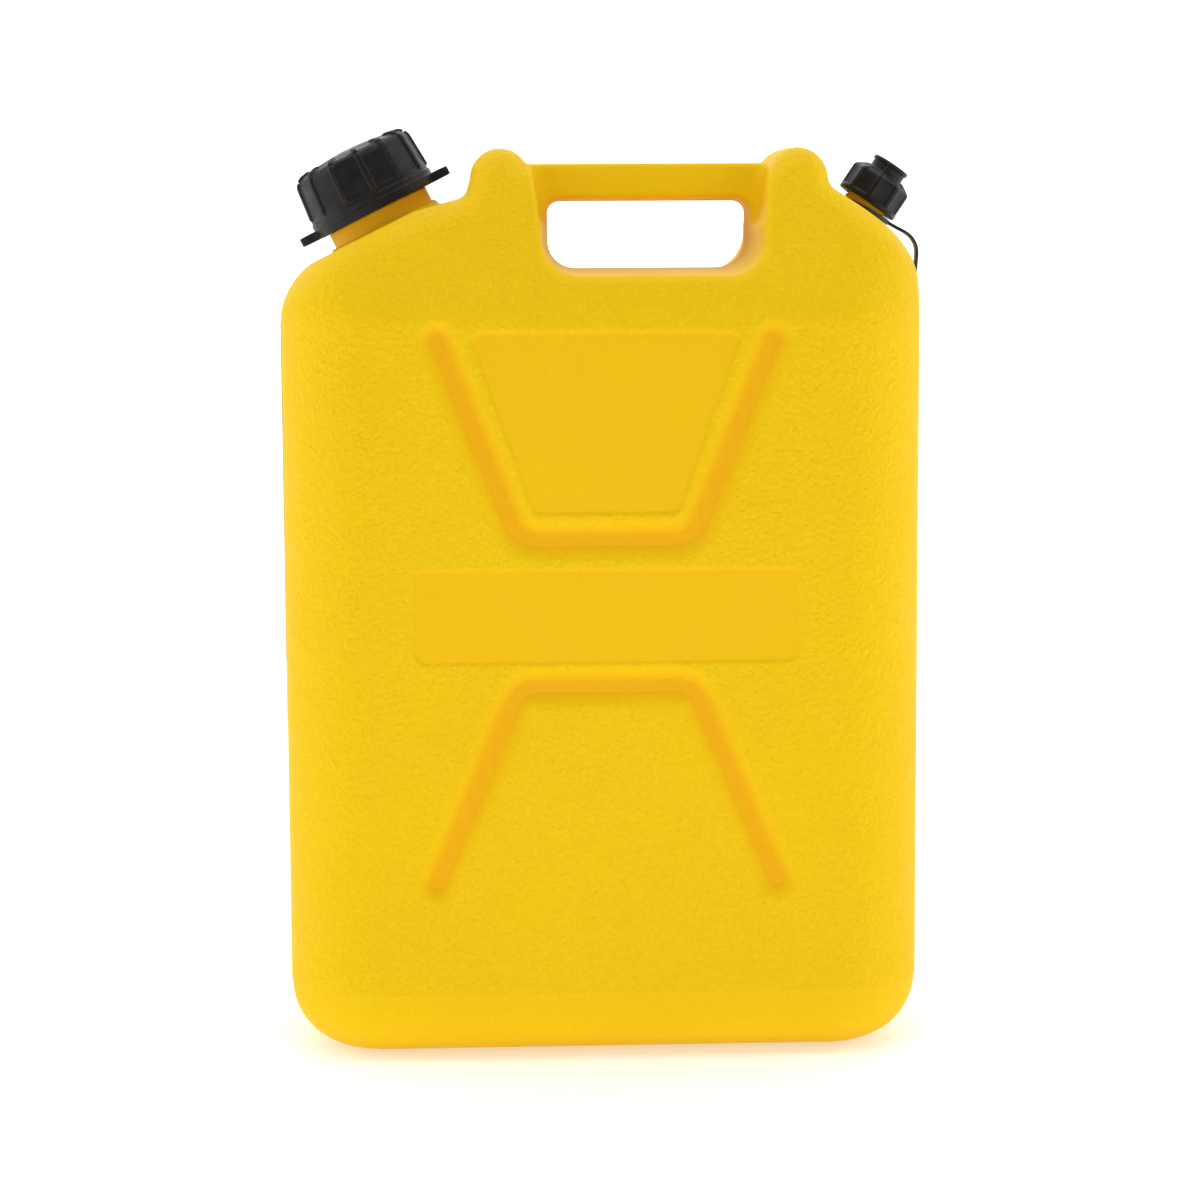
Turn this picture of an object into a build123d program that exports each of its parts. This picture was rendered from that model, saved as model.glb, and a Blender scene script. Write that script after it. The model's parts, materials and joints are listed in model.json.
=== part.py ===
from build123d import *
import math
import os

# A 10 litre jerry can: a hollow moulded tank with a hand hole through it, a screw cap on the
# filler neck, a smaller screw cap on the vent neck, a seal in each cap, a strap that keeps
# the vent cap and a label on the side. Millimetres: X across the width, Y from the front to
# the back, Z up. The origin is the middle of the base, on the surface the can stands on.

# ---- tank ----
WIDTH = 265.0
DEPTH = 145.0
HEIGHT = 376.0
WALL = 3.0
SIDE_CORNER = 40.0
BASE_CORNER = 28.0
LEAN_START = 309.0
LEAN_RADIUS = 16.0
RIDGE_WIDTH = 68.0
RIDGE_RADIUS = 12.0
LEFT_SHOULDER_RADIUS = 26.0
RIGHT_SHOULDER_RADIUS = 22.0
HUMP_FLARE = 1.0
LEDGE_X = -77.0
LEDGE_FOOT_Z = 356.0
LEDGE_RADIUS = 20.0
FOOT_RADIUS = 5.0

# ---- handle and hand hole ----
HANDLE_X = 20.5
HUMP_SPACING = 124.0
HUMP_RADIUS = 12.0
BAR_TOP = 369.6
BAR_BOTTOM = 354.3
BAR_DEPTH = 34.0
HOLE_WIDTH = 84.0
HOLE_FLOOR = 325.8
HOLE_TOP_RADIUS = 5.5
HOLE_BOTTOM_RADIUS = 12.0
HOLE_DRAFT = 4.5
RECESS_TOP_WIDTH = 101.0
RECESS_BOTTOM_WIDTH = 92.0
RECESS_FLOOR = 346.0
RECESS_RADIUS = 5.0

# ---- moulded pattern on the two broad faces ----
GROOVE_RADIUS = 6.5
GROOVE_DEPTH = 3.5
UPPER_GROOVE = [(-68.0, 298.5), (-35.5, 217.2), (35.5, 217.2), (68.0, 298.5)]
UPPER_BEND = 12.0
LOWER_GROOVE = [(-70.0, 76.0), (-35.5, 157.0), (35.5, 157.0), (70.0, 76.0)]
LOWER_BEND = 9.0
PANEL_DEPTH = 0.6
PANEL_CENTRE_Z = 186.0
PANEL_SIZE = (157.0, 38.5)
PLATE_OUTLINE = [(-55.6, 301.5), (-29.5, 228.0), (29.5, 228.0), (55.6, 301.5)]
PLATE_CORNER = 2.5

# ---- filler neck, cap and seal; heights are above the cap's lower edge ----
FILLER_AT = (-93.0, 0.0, 350.6)
FILLER_TILT = -26.3
FILLER_SEAT = -7.5
FILLER_COLLAR_RADIUS = 22.6
FILLER_NECK_RADIUS = 21.6
FILLER_BORE_RADIUS = 18.6
FILLER_NECK_TOP = 21.5
FILLER_PITCH = 6.0
FILLER_TURNS = 1.75
FILLER_THREAD_START = 5.0
FILLER_TOOTH = (1.3, 2.4, 1.4)
FILLER_CAP_INNER = 23.5
FILLER_CAP_RADIUS = 26.3
FILLER_CAP_HEIGHT = 27.3
FILLER_SKIRT_HEIGHT = 6.4
FILLER_FLANGE_RADIUS = 28.4
FILLER_CROWN = 1.6
CROWN_SHARE = 0.75
FILLER_SEAL_THICKNESS = 2.0
RIB_COUNT = 13
RIB_WIDTH = 2.4
RIB_RISE = 1.0
FIRST_RIB_ANGLE = -97.5
EAR_REACH = 34.6
EAR_WIDTH = 12.0
EAR_CORNER = 3.0
EAR_THICKNESS = 3.8
CAP_EDGE_RADIUS = 3.4

# ---- vent neck, cap and seal; heights are above the cap's lower edge ----
VENT_AT = (114.5, 0.0, 352.8)
VENT_TILT = 34.0
VENT_SEAT = -5.0
VENT_NECK_RADIUS = 8.7
VENT_BORE_RADIUS = 6.0
VENT_NECK_TOP = 10.0
VENT_PITCH = 3.0
VENT_TURNS = 3.5
VENT_THREAD_START = -3.0
VENT_TOOTH = (0.7, 1.3, 0.6)
VENT_CAP_TURNS = 2.0
VENT_CAP_THREAD_RISE = 4.5
VENT_CAP_INNER = 9.9
VENT_CAP_RADIUS = 13.6
VENT_CAP_SIDE = 11.8
VENT_CAP_HEIGHT = 14.8
VENT_SEAL_THICKNESS = 1.3
FLUTE_COUNT = 9
FLUTE_RADIUS = 6.0
FLUTE_DEPTH = 0.9
FLUTE_START = 1.8
KNOB_WAIST = 7.5
KNOB_LIP = 8.2
KNOB_HEIGHT = 4.6
KNOB_DISH = 0.8
KNOB_FOOT_FLARE = 1.5
KNOB_LIP_HEIGHT = 1.0
KNOB_LIP_EDGE = 1.2
VENT_CAP_ROUNDING = [0, 0, 2, 1, 0.4, 1, 0.3, 0.3, 0.3, 0]

# ---- vent strap ----
STRAP_RING_TILT = 29.0
STRAP_RING_DROP = 2.9
STRAP_RING_RADIUS = 12.8
STRAP_RING_BORE = 10.3
STRAP_THICKNESS = 1.2
STRAP_RING_THICKNESS = 1.6
STRAP_WIDTH = 5.0
STRAP_BEND = (136.6, 337.4)
STRAP_END = (135.0, 317.0)
STRAP_BEND_RADIUS = 10.0
LOOP_RADIUS = 10.2
LOOP_BORE = 7.7

# ---- side label ----
LABEL_WIDTH = 56.0
LABEL_BOTTOM = 136.0
LABEL_TOP = 306.0
LABEL_THICKNESS = 0.5
LABEL_CORNER = 3.0

# ---- shared ----
SEAL_GAP = 0.1
OVERLAP = 0.5
BORE_OVERRUN = 12.0

os.makedirs("parts", exist_ok=True)


def tilted_plane(origin, tilt):
    """A plane whose normal leans from +Z towards +X by tilt degrees."""
    lean = math.radians(tilt)
    across = (math.cos(lean), 0, -math.sin(lean))
    return Plane(origin=origin, x_dir=across, z_dir=(math.sin(lean), 0, math.cos(lean)))


def turned(plane):
    """The section plane of a turned piece: X is the radius and Y runs along the axis."""
    return Plane(origin=plane.origin, x_dir=plane.x_dir, z_dir=-plane.y_dir)


def axis_of(plane):
    return Axis(plane.origin, plane.z_dir)


filler = tilted_plane(FILLER_AT, FILLER_TILT)
vent = tilted_plane(VENT_AT, VENT_TILT)


def seat_height(plane, seat, x):
    """Height at x of the shoulder that a neck stands square on."""
    foot = plane.origin + plane.z_dir * seat
    return foot.Z + (x - foot.X) * plane.x_dir.Z / plane.x_dir.X


# ------------------------------------------------------------------ tank
def front_outline(inset):
    """The tank seen from the front, brought in by inset all round."""
    half = WIDTH / 2 - inset
    left_hump = HANDLE_X - HUMP_SPACING / 2
    right_hump = HANDLE_X + HUMP_SPACING / 2
    hump = HUMP_RADIUS - inset
    hump_z = HEIGHT - HUMP_RADIUS
    bar_top = BAR_TOP - inset
    hump_reach = math.sqrt(hump**2 - (bar_top - hump_z) ** 2)
    filler_seat = FILLER_SEAT - inset
    vent_seat = VENT_SEAT - inset
    corners = [
        ((-half, inset), 0),
        ((half, inset), 0),
        ((half, seat_height(vent, vent_seat, half)), RIGHT_SHOULDER_RADIUS - inset),
        ((right_hump + hump, seat_height(vent, vent_seat, right_hump + hump)), FOOT_RADIUS),
        ((right_hump + hump, hump_z), 0),
        ((right_hump - hump_reach, bar_top), 0),
        ((left_hump + hump_reach, bar_top), 0),
        ((left_hump - hump, hump_z), 0),
        ((left_hump - hump - HUMP_FLARE, LEDGE_FOOT_Z - inset), FOOT_RADIUS),
        ((LEDGE_X, seat_height(filler, filler_seat, LEDGE_X)), LEDGE_RADIUS),
        ((-half, seat_height(filler, filler_seat, -half)), LEFT_SHOULDER_RADIUS - inset),
    ]
    with BuildSketch(Plane.XZ) as outline:
        with BuildLine():
            FilletPolyline(*[c[0] for c in corners], radius=[c[1] for c in corners], close=True)
        make_face()
        with Locations((left_hump, hump_z), (right_hump, hump_z)):
            Circle(hump)
    return outline.sketch


def side_outline(inset):
    """The tank seen from the side: upright faces that lean in above LEAN_START."""
    half = DEPTH / 2
    ridge = RIDGE_WIDTH / 2
    corners = [
        (-half, 0),
        (half, 0),
        (half, LEAN_START),
        (ridge, HEIGHT),
        (-ridge, HEIGHT),
        (-half, LEAN_START),
    ]
    radii = [0, 0, LEAN_RADIUS, RIDGE_RADIUS, RIDGE_RADIUS, LEAN_RADIUS]
    with BuildSketch(Plane.YZ) as outline:
        with BuildLine():
            FilletPolyline(*corners, radius=radii, close=True)
        make_face()
        if inset:
            offset(amount=-inset, kind=Kind.INTERSECTION)
    return outline.sketch


def hand_hole(margin):
    """The drafted hole under the bar, narrowest at the mid plane, grown by margin."""
    height = BAR_BOTTOM - HOLE_FLOOR
    with BuildPart() as hole:
        with BuildSketch(Plane.XZ) as mouth:
            with Locations((HANDLE_X, HOLE_FLOOR + height / 2)):
                Rectangle(HOLE_WIDTH + 2 * margin, height + 2 * margin)
            fillet(mouth.vertices().group_by(Axis.Y)[-1], HOLE_TOP_RADIUS + margin)
            fillet(mouth.vertices().group_by(Axis.Y)[0], HOLE_BOTTOM_RADIUS + margin)
        extrude(amount=DEPTH / 2, both=True, taper=-HOLE_DRAFT)
    return hole.part


def bar_recess(margin):
    """The pockets in front of and behind the bar, grown by margin towards the tank."""
    top = RECESS_TOP_WIDTH / 2 + margin
    bottom = RECESS_BOTTOM_WIDTH / 2 + margin
    floor = RECESS_FLOOR - margin
    ceiling = HEIGHT + OVERLAP
    with BuildPart() as pocket:
        with BuildSketch(Plane.XZ.offset(BAR_DEPTH / 2 - margin)):
            with BuildLine():
                Polyline(
                    (HANDLE_X - bottom, floor),
                    (HANDLE_X + bottom, floor),
                    (HANDLE_X + top, ceiling),
                    (HANDLE_X - top, ceiling),
                    close=True,
                )
            make_face()
        extrude(amount=DEPTH / 2)
        inner_edges = pocket.edges().group_by(Axis.Y)[-1]
        fillet(inner_edges.sort_by(Axis.X)[0], RECESS_RADIUS)
        fillet(pocket.edges().group_by(Axis.Y)[-1].sort_by(Axis.X)[-1], RECESS_RADIUS)
        mirror(about=Plane.XZ)
    return pocket.part


def face_grooves(margin):
    """Round-bottomed grooves: an upright U high on each broad face, a turned one below."""
    tube = GROOVE_RADIUS + margin
    lift = DEPTH / 2 - GROOVE_DEPTH + GROOVE_RADIUS
    with BuildPart() as grooves:
        for route, bend in ((UPPER_GROOVE, UPPER_BEND), (LOWER_GROOVE, LOWER_BEND)):
            with BuildLine(Plane.XZ.offset(lift)) as path:
                FilletPolyline(*route, radius=bend)
            start = path.line @ 0
            with BuildSketch(Plane(origin=start, x_dir=(0, 1, 0), z_dir=path.line % 0)):
                Circle(tube)
            sweep(path=path.line)
            with Locations(start, path.line @ 1):
                Sphere(tube)
        mirror(about=Plane.XZ)
    return grooves.part


def tank_form(inset):
    """The tank without its necks: rounded box, cut to both outlines."""
    with BuildPart() as form:
        with BuildSketch(Plane.XY.offset(inset)):
            RectangleRounded(WIDTH - 2 * inset, DEPTH - 2 * inset, SIDE_CORNER - inset)
        extrude(amount=HEIGHT)
        fillet(form.edges().group_by(Axis.Z)[0], BASE_CORNER - inset)
        extrude(front_outline(inset), amount=DEPTH, both=True, mode=Mode.INTERSECT)
        extrude(side_outline(inset), amount=WIDTH, both=True, mode=Mode.INTERSECT)
        add(hand_hole(inset), mode=Mode.SUBTRACT)
        add(bar_recess(inset), mode=Mode.SUBTRACT)
        add(face_grooves(inset), mode=Mode.SUBTRACT)
        split(bisect_by=Plane.XZ, keep=Keep.BOTTOM)
        mirror(about=Plane.XZ)
    return form.part


def thread(plane, radius, tooth, pitch, turns, start, inward=False):
    """A helical ridge standing on a wall of the given radius, outward or inward."""
    height = pitch * turns
    depth, root, crest = tooth
    side = -1 if inward else 1
    with BuildPart() as ridge:
        centre = plane.origin + plane.z_dir * start
        with BuildLine() as path:
            Helix(pitch, height, radius, center=centre, direction=plane.z_dir)
        first = path.line @ 0
        section = Plane(origin=first, x_dir=first - centre, z_dir=path.line % 0)
        with BuildSketch(section):
            with BuildLine():
                Polyline(
                    (-side * OVERLAP, -root / 2),
                    (side * depth, -crest / 2),
                    (side * depth, crest / 2),
                    (-side * OVERLAP, root / 2),
                    close=True,
                )
            make_face()
        sweep(path=path.line, is_frenet=True)
    return ridge.part


with BuildPart() as tank_shell:
    add(tank_form(0))
    for side in (1, -1):
        face = Plane.XZ.offset(side * (DEPTH / 2 - PANEL_DEPTH))
        with BuildSketch(face):
            with Locations((0, PANEL_CENTRE_Z)):
                Rectangle(*PANEL_SIZE)
            with BuildLine():
                FilletPolyline(*PLATE_OUTLINE, radius=PLATE_CORNER, close=True)
            make_face()
        extrude(amount=side * PANEL_DEPTH, mode=Mode.SUBTRACT)
    with BuildSketch(filler.offset(FILLER_SEAT - WALL)):
        Circle(FILLER_COLLAR_RADIUS)
    extrude(amount=WALL - FILLER_SEAT)
    with BuildSketch(filler):
        Circle(FILLER_NECK_RADIUS)
    extrude(amount=FILLER_NECK_TOP)
    with BuildSketch(vent.offset(VENT_SEAT - WALL)):
        Circle(VENT_NECK_RADIUS)
    extrude(amount=VENT_NECK_TOP - VENT_SEAT + WALL)
    add(tank_form(WALL), mode=Mode.SUBTRACT)
    with BuildSketch(filler.offset(FILLER_NECK_TOP)):
        Circle(FILLER_BORE_RADIUS)
    extrude(amount=FILLER_SEAT - FILLER_NECK_TOP - BORE_OVERRUN, mode=Mode.SUBTRACT)
    with BuildSketch(vent.offset(VENT_NECK_TOP)):
        Circle(VENT_BORE_RADIUS)
    extrude(amount=VENT_SEAT - VENT_NECK_TOP - BORE_OVERRUN, mode=Mode.SUBTRACT)
    filler_screw = (FILLER_TOOTH, FILLER_PITCH, FILLER_TURNS)
    vent_screw = (VENT_TOOTH, VENT_PITCH, VENT_TURNS)
    add(thread(filler, FILLER_NECK_RADIUS, *filler_screw, FILLER_THREAD_START))
    add(thread(vent, VENT_NECK_RADIUS, *vent_screw, VENT_THREAD_START))
tank_shell.part.label = "tank_shell"
export_step(tank_shell.part, "parts/tank_shell.step")


# ------------------------------------------------------------------ filler cap
def filler_cap_section(radius, foot):
    """Half section of the cap's outside: straight side, round edge, low crown."""
    corner = (radius, FILLER_CAP_HEIGHT)
    with BuildSketch(turned(filler)) as section:
        with BuildLine():
            Polyline((0, FILLER_CAP_HEIGHT + FILLER_CROWN), (0, foot), (radius, foot), corner)
            ThreePointArc(
                corner,
                (radius / 2, FILLER_CAP_HEIGHT + FILLER_CROWN * CROWN_SHARE),
                (0, FILLER_CAP_HEIGHT + FILLER_CROWN),
            )
        make_face()
        fillet(section.vertices().sort_by_distance(corner)[0], CAP_EDGE_RADIUS)
    return section.sketch


with BuildPart() as grip_ribs:
    with BuildSketch(filler.offset(FILLER_SKIRT_HEIGHT)):
        with PolarLocations(FILLER_CAP_RADIUS - RIB_WIDTH, RIB_COUNT, start_angle=FIRST_RIB_ANGLE):
            Rectangle(3 * RIB_WIDTH, RIB_WIDTH)
    extrude(amount=FILLER_CAP_HEIGHT)
    envelope = filler_cap_section(FILLER_CAP_RADIUS + RIB_RISE, 0)
    revolve(envelope, axis=axis_of(filler), mode=Mode.INTERSECT)

with BuildPart() as filler_cap:
    revolve(filler_cap_section(FILLER_CAP_RADIUS, 0), axis=axis_of(filler))
    with BuildSketch(filler):
        Circle(FILLER_CAP_RADIUS + RIB_RISE)
    extrude(amount=FILLER_SKIRT_HEIGHT)
    with BuildSketch(filler):
        Circle(FILLER_FLANGE_RADIUS)
        RectangleRounded(2 * EAR_REACH, EAR_WIDTH, EAR_CORNER)
    extrude(amount=EAR_THICKNESS)
    add(grip_ribs.part)
    with BuildSketch(filler):
        Circle(FILLER_CAP_INNER)
    extrude(amount=FILLER_NECK_TOP + FILLER_SEAL_THICKNESS, mode=Mode.SUBTRACT)
    cap_thread_start = FILLER_THREAD_START - FILLER_PITCH / 2
    add(thread(filler, FILLER_CAP_INNER, *filler_screw, cap_thread_start, inward=True))
filler_cap.part.label = "filler_cap"
export_step(filler_cap.part, "parts/filler_cap.step")

with BuildPart() as filler_cap_seal:
    with BuildSketch(filler.offset(FILLER_NECK_TOP)):
        Circle(FILLER_CAP_INNER - SEAL_GAP)
        Circle(FILLER_BORE_RADIUS, mode=Mode.SUBTRACT)
    extrude(amount=FILLER_SEAL_THICKNESS)
filler_cap_seal.part.label = "filler_cap_seal"
export_step(filler_cap_seal.part, "parts/filler_cap_seal.step")


# ------------------------------------------------------------------ vent cap
with BuildPart() as vent_cap:
    knob_foot = VENT_CAP_HEIGHT
    knob_top = VENT_CAP_HEIGHT + KNOB_HEIGHT
    with BuildSketch(turned(vent)):
        with BuildLine():
            FilletPolyline(
                (0, 0),
                (VENT_CAP_RADIUS, 0),
                (VENT_CAP_RADIUS, VENT_CAP_SIDE),
                (KNOB_WAIST + KNOB_FOOT_FLARE, knob_foot),
                (KNOB_WAIST, knob_foot),
                (KNOB_WAIST, knob_top - 2 * KNOB_LIP_HEIGHT),
                (KNOB_LIP, knob_top - KNOB_LIP_HEIGHT),
                (KNOB_LIP, knob_top),
                (KNOB_LIP - KNOB_LIP_EDGE, knob_top),
                (0, knob_top - KNOB_DISH),
                radius=VENT_CAP_ROUNDING,
                close=True,
            )
        make_face()
    revolve(axis=axis_of(vent))
    with BuildSketch(vent.offset(FLUTE_START)):
        with PolarLocations(VENT_CAP_RADIUS + FLUTE_RADIUS - FLUTE_DEPTH, FLUTE_COUNT):
            Circle(FLUTE_RADIUS)
    extrude(amount=VENT_CAP_HEIGHT, mode=Mode.SUBTRACT)
    with BuildSketch(vent):
        Circle(VENT_CAP_INNER)
    extrude(amount=VENT_NECK_TOP + VENT_SEAL_THICKNESS, mode=Mode.SUBTRACT)
    cap_thread_start = VENT_THREAD_START + VENT_CAP_THREAD_RISE
    cap_screw = (VENT_TOOTH, VENT_PITCH, VENT_CAP_TURNS)
    add(thread(vent, VENT_CAP_INNER, *cap_screw, cap_thread_start, inward=True))
vent_cap.part.label = "vent_cap"
export_step(vent_cap.part, "parts/vent_cap.step")

with BuildPart() as vent_cap_seal:
    with BuildSketch(vent.offset(VENT_NECK_TOP)):
        Circle(VENT_CAP_INNER - SEAL_GAP)
        Circle(VENT_BORE_RADIUS, mode=Mode.SUBTRACT)
    extrude(amount=VENT_SEAL_THICKNESS)
vent_cap_seal.part.label = "vent_cap_seal"
export_step(vent_cap_seal.part, "parts/vent_cap_seal.step")


# ------------------------------------------------------------------ vent strap
ring_centre = vent.origin - vent.z_dir * STRAP_RING_DROP
ring_plane = tilted_plane(ring_centre, STRAP_RING_TILT)
ring_edge = ring_centre + ring_plane.x_dir * (STRAP_RING_RADIUS - OVERLAP)
hang_lean = math.atan2(STRAP_BEND[0] - STRAP_END[0], STRAP_BEND[1] - STRAP_END[1])
loop_tilt = 90 + math.degrees(hang_lean)
loop_plane = tilted_plane((STRAP_END[0], 0, STRAP_END[1]), loop_tilt)

with BuildPart() as vent_strap:
    with BuildSketch(ring_plane.offset(-STRAP_RING_THICKNESS / 2)):
        Circle(STRAP_RING_RADIUS)
        Circle(STRAP_RING_BORE, mode=Mode.SUBTRACT)
    extrude(amount=STRAP_RING_THICKNESS)
    with BuildLine() as run:
        FilletPolyline(
            ring_edge,
            (STRAP_BEND[0], 0, STRAP_BEND[1]),
            (STRAP_END[0], 0, STRAP_END[1]),
            radius=STRAP_BEND_RADIUS,
        )
    with BuildSketch(Plane(origin=ring_edge, x_dir=(0, 1, 0), z_dir=run.line % 0)):
        Rectangle(STRAP_WIDTH, STRAP_THICKNESS)
    sweep(path=run.line)
    with BuildSketch(loop_plane.offset(-STRAP_THICKNESS / 2)):
        with Locations((LOOP_RADIUS - OVERLAP, 0)):
            Circle(LOOP_RADIUS)
            Circle(LOOP_BORE, mode=Mode.SUBTRACT)
    extrude(amount=STRAP_THICKNESS)
vent_strap.part.label = "vent_strap"
export_step(vent_strap.part, "parts/vent_strap.step")


# ------------------------------------------------------------------ side label
with BuildPart() as side_label:
    with BuildSketch(Plane.YZ.offset(-WIDTH / 2 - LABEL_THICKNESS)):
        with Locations((0, (LABEL_BOTTOM + LABEL_TOP) / 2)):
            RectangleRounded(LABEL_WIDTH, LABEL_TOP - LABEL_BOTTOM, LABEL_CORNER)
    extrude(amount=LABEL_THICKNESS)
side_label.part.label = "side_label"
export_step(side_label.part, "parts/side_label.step")
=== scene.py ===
import json
import math

import bmesh
import bpy
import numpy as np
from mathutils import Matrix, Vector


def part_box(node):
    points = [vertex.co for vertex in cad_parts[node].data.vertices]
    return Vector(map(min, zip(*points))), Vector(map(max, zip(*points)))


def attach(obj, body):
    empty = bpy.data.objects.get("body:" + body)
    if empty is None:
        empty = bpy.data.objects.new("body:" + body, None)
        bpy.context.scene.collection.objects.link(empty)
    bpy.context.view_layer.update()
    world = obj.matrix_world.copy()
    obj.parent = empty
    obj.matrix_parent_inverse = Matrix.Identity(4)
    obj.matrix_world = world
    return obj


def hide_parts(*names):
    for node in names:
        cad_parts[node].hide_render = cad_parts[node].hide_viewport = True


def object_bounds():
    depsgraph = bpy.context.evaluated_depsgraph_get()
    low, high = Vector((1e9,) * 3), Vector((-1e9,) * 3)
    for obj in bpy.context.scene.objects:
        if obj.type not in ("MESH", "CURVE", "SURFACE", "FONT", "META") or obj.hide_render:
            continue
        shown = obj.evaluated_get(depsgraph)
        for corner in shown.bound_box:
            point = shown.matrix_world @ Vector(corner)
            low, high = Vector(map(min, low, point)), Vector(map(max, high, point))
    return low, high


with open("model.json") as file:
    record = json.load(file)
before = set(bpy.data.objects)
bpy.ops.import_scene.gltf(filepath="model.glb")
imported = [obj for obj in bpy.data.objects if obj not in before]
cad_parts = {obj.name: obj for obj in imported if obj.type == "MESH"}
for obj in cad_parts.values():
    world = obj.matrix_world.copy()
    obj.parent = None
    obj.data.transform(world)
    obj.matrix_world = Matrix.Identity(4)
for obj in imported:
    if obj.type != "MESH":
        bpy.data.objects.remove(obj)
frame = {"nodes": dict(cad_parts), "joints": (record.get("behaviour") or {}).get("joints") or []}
cad_low, cad_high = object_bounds()

MM = 0.001

# ---------------------------------------------------------------- dimensions, in millimetres
HALF_WIDTH = 132.5
HALF_DEPTH = 72.5
HEIGHT = 376.0
WALL = 3.0
SIDE_CORNER = 40.0
BASE_CORNER = 28.0
LEAN_START = 309.0
RIDGE_HALF = 34.0
HANDLE_X = 20.5
LEFT_HUMP = -41.5
RIGHT_HUMP = 82.5
HUMP_RADIUS = 12.0
BAR_TOP = 369.6
BAR_BOTTOM = 354.3
BAR_HALF_DEPTH = 17.0
POCKET_WIDTH = 92
POCKET_TOP_WIDTH = 101
POCKET_FLOOR = 345
HOLE_HALF_WIDTH = 42.0
HOLE_FLOOR = 325.8
HOLE_SLOPE = math.tan(math.radians(4.5))
FLOOR_SLOPE = math.tan(math.radians(2.2))
GROOVE_RADIUS = 6.5
GROOVE_DEPTH = 3.5
UPPER_GROOVE = [(-68.0, 298.5, 0), (-35.5, 217.2, 12), (35.5, 217.2, 12), (68.0, 298.5, 0)]
LOWER_GROOVE = [(-70.0, 76.0, 0), (-35.5, 157.0, 9), (35.5, 157.0, 9), (70.0, 76.0, 0)]
PLATE = [(-55.6, 301.5, 4), (55.6, 301.5, 4), (29.5, 228.0, 4), (-29.5, 228.0, 4)]
PANEL = [(-78.5, 205.2, 3), (78.5, 205.2, 3), (78.5, 166.8, 5), (-78.5, 166.8, 5)]
PANEL_DEPTH = 0.65
PANEL_EDGE = 1.1
PANEL_SHARE = 0.7  # the middle panel's depth as a share of the plate's
BAND_TOP = 28.2
BAND_STEP = 0.35
PARTING_RISE = 0.22
PARTING_WIDTH = 0.7
FILLER_FOOT = 24.0
VENT_FOOT = 10.6
FILLER_OPENING = 20.6
VENT_OPENING = 7.4
OUTER_STEP = 2.6
INNER_STEP = 5.0

FILLER_SEAT = -7.5
VENT_SEAT = -5.0


# ---------------------------------------------------------------- where the necks are
def neck_plane(joint_name):
    """The foot of a neck and the directions across it, front to back and along it."""
    joint = next(j for j in frame["joints"] if j["name"] == joint_name)
    along = Vector(joint["axis"]).normalized()
    back = Vector((0, 1, 0))
    return Vector(joint["pos_m"]) / MM, back.cross(along), back, along


FILLER = neck_plane("filler_cap_turn")
VENT = neck_plane("vent_cap_turn")


def seat_height(plane, seat, x):
    origin, across, _, along = plane
    foot = origin + along * seat
    return foot.z + (x - foot.x) * across.z / across.x


# ---------------------------------------------------------------- flat outlines
def rounded(corners, closed=True, steps=10):
    """Points along a polygon whose corners (x, z, radius) are rounded."""
    points = []
    count = len(corners)
    for i, (x, z, radius) in enumerate(corners):
        here = np.array((x, z), float)
        if radius <= 0 or (not closed and i in (0, count - 1)):
            points.append(here)
            continue
        to_last = np.array(corners[i - 1][:2]) - here
        to_next = np.array(corners[(i + 1) % count][:2]) - here
        to_last /= np.hypot(*to_last)
        to_next /= np.hypot(*to_next)
        half = math.acos(np.clip(to_last @ to_next, -1, 1)) / 2
        middle = (to_last + to_next) / np.hypot(*(to_last + to_next))
        centre = here + middle * radius / math.sin(half)
        first = here + to_last * radius / math.tan(half) - centre
        last = here + to_next * radius / math.tan(half) - centre
        start = math.atan2(first[1], first[0])
        turn = (math.atan2(last[1], last[0]) - start + math.pi) % (2 * math.pi) - math.pi
        for t in np.linspace(0, 1, steps):
            angle = start + turn * t
            points.append(centre + radius * np.array((math.cos(angle), math.sin(angle))))
    return np.array(points)


def arc(x, z, radius, start, end, steps=14):
    angles = np.radians(np.linspace(start, end, steps))
    return np.stack([x + radius * np.cos(angles), z + radius * np.sin(angles)], 1)


def outline_distance(points, x, z, closed=True):
    """Distance to an outline, negative inside a closed one."""
    nearest = np.full(x.shape, 1e12)
    inside = np.zeros(x.shape, bool)
    ends = np.roll(points, -1, 0) if closed else points[1:]
    for (ax, az), (bx, bz) in zip(points, ends):
        dx, dz = bx - ax, bz - az
        length = dx * dx + dz * dz
        if length < 1e-12:
            continue
        t = np.clip(((x - ax) * dx + (z - az) * dz) / length, 0, 1)
        nearest = np.minimum(nearest, (x - ax - t * dx) ** 2 + (z - az - t * dz) ** 2)
        if closed and dz:
            inside ^= ((az > z) != (bz > z)) & (x < dx * (z - az) / dz + ax)
    nearest = np.sqrt(nearest)
    return np.where(inside, -nearest, nearest) if closed else nearest


class Chart:
    """A distance worked out once on a fine flat grid and read back anywhere."""

    def __init__(self, points, low, high, step):
        self.low, self.step = np.array(low, float), step
        self.count = ((np.array(high) - self.low) / step).astype(int) + 1
        x = low[0] + np.arange(self.count[0]) * step
        z = low[1] + np.arange(self.count[1]) * step
        grid_x, grid_z = np.meshgrid(x, z, indexing="ij")
        self.values = outline_distance(points, grid_x, grid_z)

    def __call__(self, x, z):
        u = np.clip((x - self.low[0]) / self.step, 0, self.count[0] - 1.001)
        v = np.clip((z - self.low[1]) / self.step, 0, self.count[1] - 1.001)
        i, j = u.astype(int), v.astype(int)
        u, v = u - i, v - j
        near = self.values[i, j] * (1 - u) + self.values[i + 1, j] * u
        far = self.values[i, j + 1] * (1 - u) + self.values[i + 1, j + 1] * u
        return near * (1 - v) + far * v


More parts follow.
